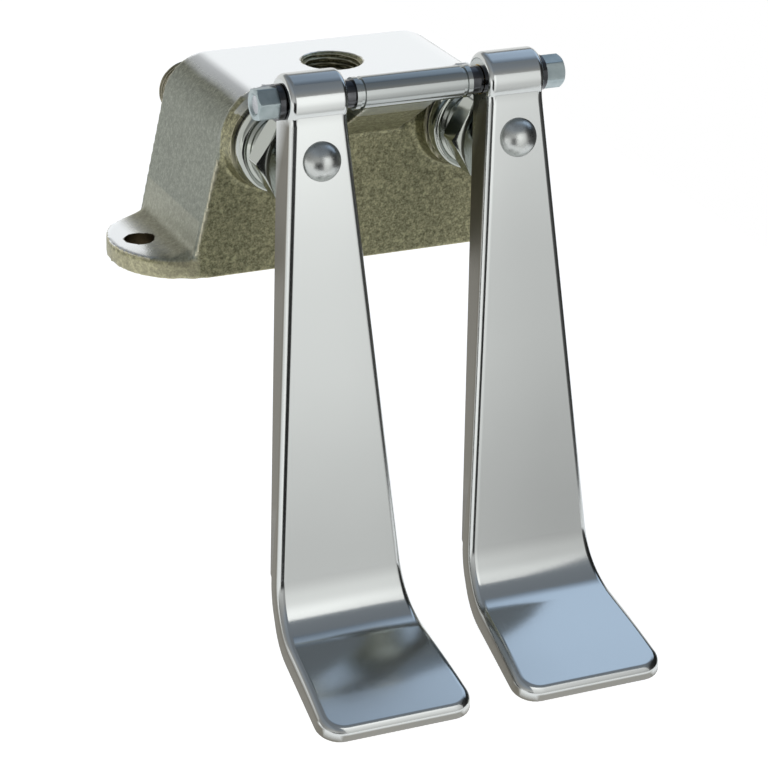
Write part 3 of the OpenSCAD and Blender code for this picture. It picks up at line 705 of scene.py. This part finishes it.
def buildCasting():
    c = castSizes
    slope = math.atan((c["footHalf"] - c["topHalf"]) / c["height"])
    reach = c["roll"] * math.tan((math.pi / 2 - slope) / 2)
    half = c["depth"] / 2
    block = addBox("casting", (-c["footHalf"], -half, 0), (c["footHalf"], half, c["height"]))
    startEdit(block)
    pickFaces(block, lambda normal: normal.z > 0.9)
    movePicked(block, lambda co: (math.copysign(c["topHalf"], co.x),
                                  co.y - (c["frontLean"] if co.y < 0 else 0), co.z))
    bevelEdges(block, lambda a, b: min(a.z, b.z) > c["height"] - 1 and abs(a.x - b.x) < 1, reach, 12)
    endEdit()
    for side in (-1, 1):
        x = side * valveX
        ear = addRound("ear", "Z", c["earRadius"], 0, c["ear"], (side * c["earCentre"], 0, 0), 96)
        combine(block, ear, "UNION")
        combine(block, buildWedge(side), "UNION")
        boss = addRound("boss", "Y", c["boss"], c["bossFace"] - c["stock"], c["bossRoot"], (x, 0, valveZ), 72,
                        c["boss"] + c["bossFlare"])
        combine(block, boss, "UNION")
        combine(block, addRound("collar", "Y", c["collar"], *c["collarEnds"], (x, 0, c["stubZ"])), "UNION")
    combine(block, buildArm(), "UNION")
    end = c["barrelHalf"] + c["stock"]
    combine(block, addRound("barrel", "X", c["barrel"], -end, end, hinge), "UNION")
    finishMod(block, "REMESH", mode="VOXEL", voxel_size=c["grain"] * mm)
    inner = block.vertex_groups.new(name="fillets")
    inner.add([v.index for v in block.data.vertices if inFillet(v.co / mm)], 1, "REPLACE")
    finishMod(block, "SMOOTH", factor=0.5, iterations=c["melt"], vertex_group="fillets")
    finishMod(block, "SMOOTH", factor=0.5, iterations=c["soften"])
    block.vertex_groups.clear()
    print("casting run together", len(block.data.polygons), "faces")
    combine(block, buildCutter(), "DIFFERENCE")
    print("casting machined")
    return block


def buildCutter():  # machining, all bores and faces in one solid
    c = castSizes
    wide, g = c["faceHalf"], c["gallery"]
    end = c["barrelHalf"] + 2 * c["stock"]
    cutter = addRound("cutter", "Z", c["outletBore"], *c["outletEnds"], (0, c["outletY"], 0))
    cuts = []
    for side in (-1, 1):
        x = side * valveX
        cuts.append(addRound("hole", "Z", c["hole"], *c["holeEnds"], (side * c["holeX"], 0, 0), 48))
        cuts.append(addBox("bossFace", (x - wide, c["bossFace"] - 2 * c["stock"], valveZ - wide),
                           (x + wide, c["bossFace"], valveZ + wide)))
        for bore in c["chamber"]:
            cuts.append(addRound("chamber", "Y", *bore, (x, 0, valveZ), 48))
        cuts.append(addRound("supply", "Y", *c["supply"], (x, 0, c["stubZ"]), 48))
        left, right = sorted((side * c["barrelHalf"], side * end))
        cuts.append(addBox("barrelEnd", (left, *c["barrelLow"]), (right, *c["barrelHigh"])))
    cuts.append(addRound("gallery", "X", g, -valveX, valveX, (0, c["galleryY"], valveZ), 40))
    cuts.append(addRound("gallery", "Y", g, c["galleryY"], c["outletY"], (0, 0, valveZ), 40))
    cuts.append(addRound("gallery", "Z", g, valveZ - g, valveZ + g, (0, c["outletY"], 0), 40))
    cuts.append(addRound("rodBore", "X", c["rodBore"], -end, end, hinge, 40))
    for side in (-1, 1):  # shallow neck near each end of the barrel
        narrow, broad = c["neckHalf"]
        rim = c["barrel"] + c["stock"]
        ring = [(c["neck"], -narrow), (rim, -broad), (rim, broad), (c["neck"], narrow)]
        cuts.append(lathe("neck", [(r, side * c["neckX"] + along) for r, along in ring], "X", hinge))
    for cut in cuts:
        combine(cutter, cut, "UNION")
    return cutter


# half-inch pipe thread: 14 to the inch, drawn as a real helix on the stubs and in the outlet
threadSizes = {"major": 10.4775, "minor": 9.32, "pitch": 1.814, "sides": 72, "perTurn": 8, "lead": 1.2,
               "stubEnds": (28, 50.4), "stubThread": 29.6, "stubBore": 7.0, "mouth": 0.6,
               "outletEnds": (49.5, 63.45), "outletWall": 11.05, "outletMouth": 10.95}


def threadRows(radius, low, high):  # points along the thread, several to a turn
    rows = int((high - low) / threadSizes["pitch"] * threadSizes["perTurn"])
    return [(radius, low + (high - low) * i / rows) for i in range(rows + 1)]


def threadHeight(angle, along):  # 0 at the root, 1 at the crest
    turn = (along / threadSizes["pitch"] - angle / (2 * math.pi)) % 1
    return limit(1.5 - abs(turn - 0.5) * 4)


def buildStub(side):  # ring with many rows along the thread; the rows are then pulled in to the root
    t = threadSizes
    (start, end), bore = t["stubEnds"], t["stubBore"]
    mouth = [(bore + t["mouth"], end), (bore, end - t["mouth"]), (bore, start), (bore + 1.5, start - 0.5)]
    obj = lathe("stub", threadRows(t["major"], start, end) + mouth, "Y", steps=t["sides"])
    for vert in obj.data.vertices:
        along = vert.co.y / mm
        radius = math.hypot(vert.co.x, vert.co.z) / mm
        if radius > 10 and along > t["stubThread"]:
            height = threadHeight(math.atan2(vert.co.z, vert.co.x), along)
            want = t["minor"] + (t["major"] - t["minor"]) * height
            if along > end - t["lead"]:  # lead-in chamfer
                want = min(want, t["minor"] + end - along)
            else:
                want = t["major"] + (want - t["major"]) * limit((along - t["stubThread"]) / t["lead"])
            vert.co.x *= want / radius
            vert.co.z *= want / radius
    obj.data.transform(Matrix.Translation(Vector((side * valveX, 0, castSizes["stubZ"])) * mm))
    return obj


def buildOutletThread():
    t = threadSizes
    low, high = t["outletEnds"]
    wall = [(t["outletWall"], high), (t["outletWall"], low)]
    obj = lathe("outletThread", threadRows(t["minor"], low, high) + wall, "Z", steps=t["sides"])
    for vert in obj.data.vertices:
        along = vert.co.z / mm
        radius = math.hypot(vert.co.x, vert.co.y) / mm
        if radius < 10:
            height = threadHeight(math.atan2(vert.co.y, vert.co.x), along)
            want = t["minor"] + (t["major"] - t["minor"]) * (1 - height)
            want = max(want, t["outletMouth"] - (high - along))  # mouth chamfer
            vert.co.x *= want / radius
            vert.co.y *= want / radius
    obj.data.transform(Matrix.Translation(Vector((0, castSizes["outletY"], 0)) * mm))
    return obj


castingModel = buildCasting()
castingModel = joinAll([castingModel, buildStub(-1), buildStub(1), buildOutletThread()])


# where the casting's skin changes: heights and reaches of the buffed, bored and worn places, and of the
# painted light and shade
skinSizes = {"barrel": 7.2, "barrelBack": -55, "lip": 63.4, "rollLow": 46, "armBack": -31, "buffFrom": 0.78,
             "buffRun": 0.2, "earHigh": 10, "earFrom": (64, 11), "earShade": (-20, 16), "edgeBuff": 0.4,
             "edgeLow": 60,
             "mouthLow": 57, "mouthFade": 10, "stubDarkening": 0.45, "rimWear": 0.22, "filletPaintedLight": 0.3,
             "filletX": 65, "filletRun": 9, "wearFrom": 0.06, "wearRun": 0.16}


def barrelMark(co, normal):  # the hinge barrel is chromed like the pedals
    onBarrel = math.hypot(co.y - hinge.y, co.z - hinge.z) < skinSizes["barrel"]
    return 1 if onBarrel and co.y < skinSizes["barrelBack"] else 0


def polishAndShadeMark(co, normal):  # top and barrel are buffed, ear tops round the holes too, their buff graded down towards the front as painted shade
    s = skinSizes
    if barrelMark(co, normal):
        return 1
    if inOutlet(co) and 48 < co.z < s["lip"]:
        return 0
    if co.z > s["rollLow"] and normal.z > 0.3 and co.y > s["armBack"]:
        return limit((normal.z - s["buffFrom"]) / s["buffRun"])
    if normal.z > 0.8 and co.z < s["earHigh"]:
        # ear tops: duller towards the front, a painted shade
        outward = limit((abs(co.x) - s["earFrom"][0]) / s["earFrom"][1])
        back = limit((co.y - s["earShade"][0]) / s["earShade"][1])
        return 0.9 * outward * (0.4 + 0.6 * back)
    return s["edgeBuff"] if co.z > s["edgeLow"] else 0


def tanMark(co, normal):  # the front, the bosses and the rims keep an olive cast, the ends are greyer
    onBoss = co.y < -28.5 and fromValve(co) < 20
    if onBoss or co.z < castSizes["ear"] and abs(normal.z) < 0.5 or inOutlet(co):
        return 1
    return limit(1.15 - 1.4 * abs(normal.x)) if co.z < 62 else 0.5


def boreShadeMark(co, normal):  # painted shade in the bores and holes, deepest in the outlet; the stubs' outside darkened part way
    c, s = castSizes, skinSizes
    if co.z < 16 and math.hypot(abs(co.x) - c["holeX"], co.y) < c["hole"] + 0.05:
        return 1
    # the outlet darkens with depth, a painted shade
    if inOutlet(co) and 40 < co.z < 63.3:
        return limit((s["mouthLow"] - co.z) / s["mouthFade"])
    if co.y > 30 and fromStub(co) > 9.2:
        return s["stubDarkening"]
    inChamber = fromValve(co) < 10.2 and c["bossFace"] + 0.5 < co.y < 25
    return 1 if inChamber or fromStub(co) < 9.1 and 10 < co.y < 49 else 0


def wearAndLightMark(obj):  # how far each point stands out from its neighbours: paler on the edges, as wear and as a painted highlight
    s = skinSizes
    mesh = obj.data
    stand = [[0, 0] for v in mesh.vertices]
    for edge in mesh.edges:
        a, b = (mesh.vertices[i] for i in edge.vertices)
        run = (b.co - a.co).normalized()
        for vert, sign in ((a, -1), (b, 1)):
            stand[vert.index][0] += sign * vert.normal.dot(run)
            stand[vert.index][1] += 1
    mark = mesh.attributes.new("wearAndPaintedLight", "FLOAT", "POINT")
    for i, (total, count) in enumerate(stand):
        vert = mesh.vertices[i]
        x, y, z = vert.co / mm
        onRim = z < 7.2 and abs(vert.normal.z) < 0.5 and abs(x) > 60  # ground rims of the ears
        rim = s["rimWear"] if onRim else 0
        if 5 < z < 20 and abs(y) < 25:  # painted light in the ears' fillets, lifting their shade
            rim = s["filletPaintedLight"] * max(0, 1 - abs(abs(x) - s["filletX"]) / s["filletRun"])
        mark.data[i].value = max(rim, min(1, (total / max(count, 1) - s["wearFrom"]) / s["wearRun"]))


wearAndLightMark(castingModel)
for name, mark in (("tan", tanMark), ("inside", boreShadeMark), ("polishAndEarShade", polishAndShadeMark), ("plated", barrelMark)):
    writeMark(castingModel, name, mark)
smoothShade(castingModel, 40)
dress(castingModel, castingFinish)
castingModel.name = "bodyCastingLook"
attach(castingModel, "valve_body")
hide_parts("body_casting")
print("casting placed", len(castingModel.data.polygons), "faces")


# bonnets: round flange, grooved neck, chamfered hexagon and snout, bored for the plunger
bonnetSizes = {"flange": 16.2, "flangeBack": -36.2, "flangeFront": -42.2, "neck": 13.0, "core": 12.0,
               "hexBack": -46.2, "hexFront": -55.4, "flats": 27, "hexBore": 11.0, "snout": 7,
               "snoutFront": -57.0, "spigot": 10, "spigotBack": -23.2, "guide": 3.55, "gland": 5.5,
               "glandFront": -54.2, "glandBack": -51.6, "pocket": 7.3, "pocketFront": -49.4, "chamfer": 0.6,
               "frontRound": 1.6,
               "backRound": 0.8, "hexSoft": 0.5, "spin": 30}


def chamferedHex(name, flats, start, end, axis, bothEnds, spin, soft):
    # six-sided bar, edges softened, corners turned off at its end, or at both, by a cone
    corner = flats / math.cos(math.radians(30)) / 2
    past = 1  # the bar runs on beyond the cone, so that no two faces share a plane
    bar = addRound(name, "Z", corner, start - past, end + past, sides=6)
    settle(bar, (0, 0, math.radians(spin)))
    startEdit(bar, "EDGE")
    bevelEdges(bar, lambda a, b: abs(a.z - b.z) > 0.1, soft, 3)
    endEdit()
    wide = corner + 1
    inner = flats / 2 * 0.97
    drop = (wide - inner) * math.tan(math.radians(30))
    outline = [(0, start), (inner, start), (wide, start + drop)] if bothEnds else [(0, start), (wide, start)]
    outline += [(wide, end - drop), (inner, end), (0, end)]
    combine(bar, lathe("cone", outline, "Z", steps=72), "INTERSECT")
    return settle(bar, axisTurn[axis])


def buildBonnet():
    b = bonnetSizes
    cut, front, back = b["chamfer"], b["frontRound"], b["backRound"]
    outline = [(b["guide"], b["snoutFront"]), (b["snout"] - cut, b["snoutFront"]),
               (b["snout"], b["snoutFront"] + cut), (b["snout"], b["hexFront"] + 1),
               (b["core"], b["hexFront"] + 1.2), (b["core"], b["hexBack"] - 1),
               (b["neck"] - cut, b["hexBack"] - 0.9), (b["neck"] - cut, b["hexBack"] + 1.2),
               (b["neck"] + 0.2, b["hexBack"] + 2.0), (b["neck"] + 0.2, b["flangeFront"] - 0.8),
               (b["flange"] - front - cut, b["flangeFront"])]
    outline += arc((b["flange"] - front, b["flangeFront"] + front), front, -90, 0, 5)
    outline += arc((b["flange"] - back, b["flangeBack"] - back), back, 0, 90, 3)
    outline += [(b["spigot"], b["flangeBack"]), (b["spigot"], b["spigotBack"] - cut),
                (b["spigot"] - cut, b["spigotBack"]), (b["pocket"], b["spigotBack"]),
                (b["pocket"], b["pocketFront"]), (b["guide"], b["pocketFront"]),
                (b["guide"], b["glandBack"]), (b["gland"], b["glandBack"]),
                (b["gland"], b["glandFront"]), (b["guide"], b["glandFront"])]
    turned = lathe("bonnet", outline, "Y", steps=72)
    bar = chamferedHex("hexagon", b["flats"], b["hexFront"], b["hexBack"], "Y", True, b["spin"], b["hexSoft"])
    bore = addRound("bore", "Y", b["hexBore"], b["hexFront"] - 1, b["hexBack"] + 1, sides=48)
    combine(bar, bore, "DIFFERENCE")
    obj = joinAll([turned, bar])
    smoothShade(obj, 40)
    dress(obj, bonnetFinish)
    return obj


bonnetModel = buildBonnet()
for side, word in bothSides:
    bonnet = placeCopy(bonnetModel, word + "BonnetLook", atValve(side))
    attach(bonnet, "valve_body")
    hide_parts(word + "_bonnet")
bpy.data.objects.remove(bonnetModel)
print("bonnets placed")


# rod nuts: chamfered hexagons with a countersunk thread mouth
nutSizes = {"flats": 10, "inner": 48.3, "outer": 55.5, "bore": 3.1, "sinkWide": 0.9, "sinkDeep": 0.7,
            "spin": 12, "soft": 0.35, "past": 0.2}


def buildNuts():
    n = nutSizes
    bar = chamferedHex("nut", n["flats"], n["inner"], n["outer"], "X", False, n["spin"], n["soft"])
    low, high = n["inner"] - 1, n["outer"] + n["past"]
    outline = [(0, low), (n["bore"], low), (n["bore"], n["outer"] - n["sinkDeep"]),
               (n["bore"] + n["sinkWide"], high), (0, high)]
    combine(bar, lathe("bore", outline, "X", steps=40), "DIFFERENCE")
    smoothShade(bar, 40)
    other = placeCopy(bar, "nutTwin", Matrix.Rotation(math.pi, 4, "Z"))
    pair = joinAll([bar, other])
    pair.data.transform(Matrix.Translation(hinge * mm))
    pair.name = "rodNutsLook"
    dress(pair, zincFinish)
    return pair


rodNuts = buildNuts()
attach(rodNuts, "valve_body")
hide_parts("rod_nuts")
print("nuts placed")


# return springs: a wire ring screwed along the plunger
springSizes = {"wire": 1.4, "wireSides": 10, "turns": 6, "back": -23.2, "stroke": 3.8, "steps": 24}


def buildSpring(front, radius):
    s = springSizes
    deselectAll()
    bpy.ops.mesh.primitive_circle_add(vertices=s["wireSides"], radius=s["wire"] / 2 * mm)
    obj = settle(bpy.context.object, (math.pi / 2, 0, 0), (radius * mm, 0, 0))
    obj.name = "spring"
    pitch = (s["back"] - front - s["wire"]) / s["turns"]
    finishMod(obj, "SCREW", angle=2 * math.pi, screw_offset=pitch * mm, iterations=s["turns"],
              steps=s["steps"], render_steps=s["steps"])
    startEdit(obj, "VERT")
    bpy.ops.mesh.select_all(action="SELECT")
    bpy.ops.mesh.remove_doubles(threshold=0.002 * mm)
    bpy.ops.mesh.fill_holes(sides=0)
    bpy.ops.mesh.normals_make_consistent(inside=False)
    endEdit()
    settle(obj, axisTurn["Y"], (0, (front + s["wire"] / 2) * mm, 0))
    smoothShade(obj, 50)
    dress(obj, steelFinish)
    return obj


springLow, springHigh = (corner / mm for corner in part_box("left_spring"))
springModel = buildSpring(springLow.y, (springHigh.z - springLow.z - springSizes["wire"]) / 2)
for side, word in bothSides:
    spring = placeCopy(springModel, word + "SpringLook", atValve(side))
    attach(spring, "valve_body")
    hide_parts(word + "_spring")
    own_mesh(spring)
bpy.data.objects.remove(springModel)
print("springs placed", springLow.y, springHigh.y)


# solids shown as they come
# the rod's washers and spacers are painted near-black for the shade in the gaps
finishes = {"hinge_rod": steelFinish, "rod_washers": gapShadeFinish, "pivot_spacers": gapShadeFinish}
for side, word in bothSides:
    for finish, parts in ((brassFinish, ("bush", "seat_sleeve", "disc_cup", "disc_nut")),
                          (rubberFinish, ("gasket", "plunger_ring", "sleeve_ring", "valve_disc")),
                          (zincFinish, ("push_nut",)), (steelFinish, ("plunger",)),
                          (trimFinish, ("plunger_cap",))):
        finishes.update({word + "_" + part: finish for part in parts})
for name, finish in finishes.items():
    dress(nodes[name], finish)
print("inner pieces dressed")


def addPlane(name, size, place, turn=0):
    deselectAll()
    bpy.ops.mesh.primitive_plane_add(size=1)
    plane = bpy.context.object
    plane.name = name
    plane.scale = (size[0] * mm, size[1] * mm, 1)
    return settle(plane, (turn, 0, 0), Vector(place) * mm)


def span(low, high):  # size and middle of a stretch of floor or ceiling
    return [b - a for a, b in zip(low, high)], [(a + b) / 2 for a, b in zip(low, high)]


# pale table below the reach of a pressed pad, white to the camera and in reflections
floorSizes = {"height": cadBox[0][2] / mm - 14, "low": (-800, -330), "high": (330, 1200), "glow": 0.76,
              "paint": "#dcdcdc", "rough": 0.9}


def addFloor():
    f = floorSizes
    size, middle = span(f["low"], f["high"])
    floor = addPlane("floor", size, (*middle, f["height"]))
    material, tree, shader, place = newMaterial("paleMattePaint")
    path = addNode(tree, "ShaderNodeLightPath").outputs
    seen = calc(tree, "MAXIMUM", path["Is Camera Ray"], path["Is Glossy Ray"])
    seen = calc(tree, "MAXIMUM", seen, path["Is Transmission Ray"])
    glow = calc(tree, "MULTIPLY", seen, f["glow"])
    setInputs(tree, shader, {"Base Color": hexColour(f["paint"]), "Roughness": f["rough"],
                             "Emission Color": grey(1), "Emission Strength": glow})
    dress(floor, material)


# white card in front on the right, brighter towards its top: lights the straps and the start of the bends
cardSizes = {"y": -265, "left": -35, "right": 175, "top": 178, "fade": (50, 130), "far": 0.72, "glow": 1.58,
             "tones": ((0.0, 0.52), (0.1, 0.52), (0.275, 0.67), (0.475, 0.76), (0.645, 0.96), (1.0, 1.0))}


def addCard():
    c = cardSizes
    low = floorSizes["height"]
    card = addPlane("bounceCard", (c["right"] - c["left"], c["top"] - low),
                    ((c["left"] + c["right"]) / 2, c["y"], (low + c["top"]) / 2), math.pi / 2)
    material, tree, shader, place = newMaterial("whitePaperCard")
    x, y, z = splitAxes(tree, place)
    rise = rescale(tree, z, low * mm, c["top"] * mm)
    tones = ramp(tree, rise, [(at, grey(v)) for at, v in c["tones"]], "CARDINAL")
    fade = rescale(tree, x, c["fade"][0] * mm, c["fade"][1] * mm, 1, c["far"])
    setInputs(tree, shader, {"Base Color": grey(0), "Emission Strength": c["glow"],
                             "Emission Color": mix(tree, 1.0, tones, fade, "MULTIPLY")})
    dress(card, material)
    card.visible_camera = False


# pale blue panel overhead on the right: the pads mirror it
panelSizes = {"z": 300, "low": (20, -110), "high": (600, 200), "side": (60, 240, 0.45),
              "front": (-110, -30, 0.35), "tone": (0.66, 0.83, 1.08, 1)}


def addPanel():
    p = panelSizes
    size, middle = span(p["low"], p["high"])
    panel = addPlane("overheadPanel", size, (*middle, p["z"]), math.pi)
    material, tree, shader, place = newMaterial("paleBluePanel")
    x, y, z = splitAxes(tree, place)
    across, along = (rescale(tree, axis, p[part][0] * mm, p[part][1] * mm, p[part][2])
                     for axis, part in ((x, "side"), (y, "front")))
    setInputs(tree, shader, {"Base Color": grey(0), "Emission Color": p["tone"],
                             "Emission Strength": calc(tree, "MULTIPLY", across, along)})
    dress(panel, material)
    panel.visible_camera = False


# studio by the angle round the X axis: 0 is the front horizon, 90 straight up, 180 the white backdrop behind
worldSizes = {"turns": ((-180, 1.0), (-140, 0.9), (-90, 0.7), (-30, 0.9), (-9, 1.1), (-4, 0.95), (0, 0.6),
                        (16, 0.5), (30, 0.42), (38, 0.36), (60, 0.3), (90, 0.26), (126, 0.26),
                        (152, 0.34), (157, 0.5), (161, 1.1), (180, 1.15)),
              "sides": ((-1.0, 1.4), (-0.45, 1.4), (-0.3, 1.0), (0.5, 1.0), (0.72, 0.12), (1.0, 0.06)),
              "flag": (-0.82, -0.68, -0.12, 0.06), "flagFront": (0.3, 0.6), "flagTop": (0.16, 0.06),
              "flagTone": 0.02, "high": (0.5, 0.75), "blue": (0.88, 0.97, 1.1, 1), "backdrop": (-0.5, -0.6),
              "backdropTop": (0.46, 0.36)}


def addWorld():
    w = worldSizes
    world = bpy.data.worlds.new("studio")
    bpy.context.scene.world = world
    world.use_nodes = True
    tree = world.node_tree
    tree.nodes.clear()
    x, y, z = splitAxes(tree, addNode(tree, "ShaderNodeTexCoord").outputs["Generated"])
    ahead = calc(tree, "MULTIPLY", y, -1.0)
    turn = rescale(tree, calc(tree, "ARCTAN2", z, ahead), -math.pi, math.pi)
    tones = ramp(tree, turn, [((deg + 180) / 360, grey(v)) for deg, v in w["turns"]])
    sides = ramp(tree, rescale(tree, x, -1, 1), [((at + 1) / 2, grey(v)) for at, v in w["sides"]])
    # dark flag beside the camera, low in front: draws the thin dark line down the pedals' corners
    a, b, c, d = w["flag"]
    wide = calc(tree, "MULTIPLY", rescale(tree, x, a, b, kind="SMOOTHSTEP"),
                rescale(tree, x, d, c, kind="SMOOTHSTEP"))
    tall = calc(tree, "MULTIPLY", rescale(tree, ahead, *w["flagFront"]), rescale(tree, z, *w["flagTop"]))
    lit = mix(tree, 1.0, tones, sides, "MULTIPLY")
    flagged = mix(tree, calc(tree, "MULTIPLY", wide, tall), lit, grey(w["flagTone"]))
    cool = mix(tree, rescale(tree, z, *w["high"]), flagged, w["blue"], "MULTIPLY")  # cool cast high up
    studio = addNode(tree, "ShaderNodeBackground", {"Color": cool, "Strength": 1.0})
    white = addNode(tree, "ShaderNodeBackground", {"Color": grey(1), "Strength": 1.0})
    # the camera sees white all round, metals see it low behind
    path = addNode(tree, "ShaderNodeLightPath").outputs
    behind = calc(tree, "MULTIPLY", rescale(tree, ahead, *w["backdrop"]), rescale(tree, z, *w["backdropTop"]))
    shown = calc(tree, "MULTIPLY_ADD", path["Is Glossy Ray"], behind, path["Is Camera Ray"])
    shown = calc(tree, "MAXIMUM", shown, path["Is Transmission Ray"])
    both = addNode(tree, "ShaderNodeMixShader", {0: shown, 1: studio.outputs[0], 2: white.outputs[0]})
    addNode(tree, "ShaderNodeOutputWorld", {"Surface": both.outputs[0]})


# one broad lamp from the front left for the floor and its shadow, kept out of the metal's reflections
lampSizes = {"place": (-900, -700, 900), "aim": (0, -20, 20), "size": 1500, "power": 7}


def addLamp():
    data = bpy.data.lights.new("softLamp", "AREA")
    data.shape = "DISK"
    data.size = lampSizes["size"] * mm
    data.energy = lampSizes["power"]
    lamp = bpy.data.objects.new("softLamp", data)
    bpy.context.scene.collection.objects.link(lamp)
    place = Vector(lampSizes["place"])
    aim = Vector(lampSizes["aim"]) - place
    lamp.matrix_world = Matrix.Translation(place * mm) @ aim.to_track_quat("-Z", "Y").to_matrix().to_4x4()
    lamp.visible_glossy = False


addFloor()
addCard()
addPanel()
addWorld()
addLamp()
bpy.context.scene.view_settings.view_transform = "Standard"
print("studio ready")

deselectAll()
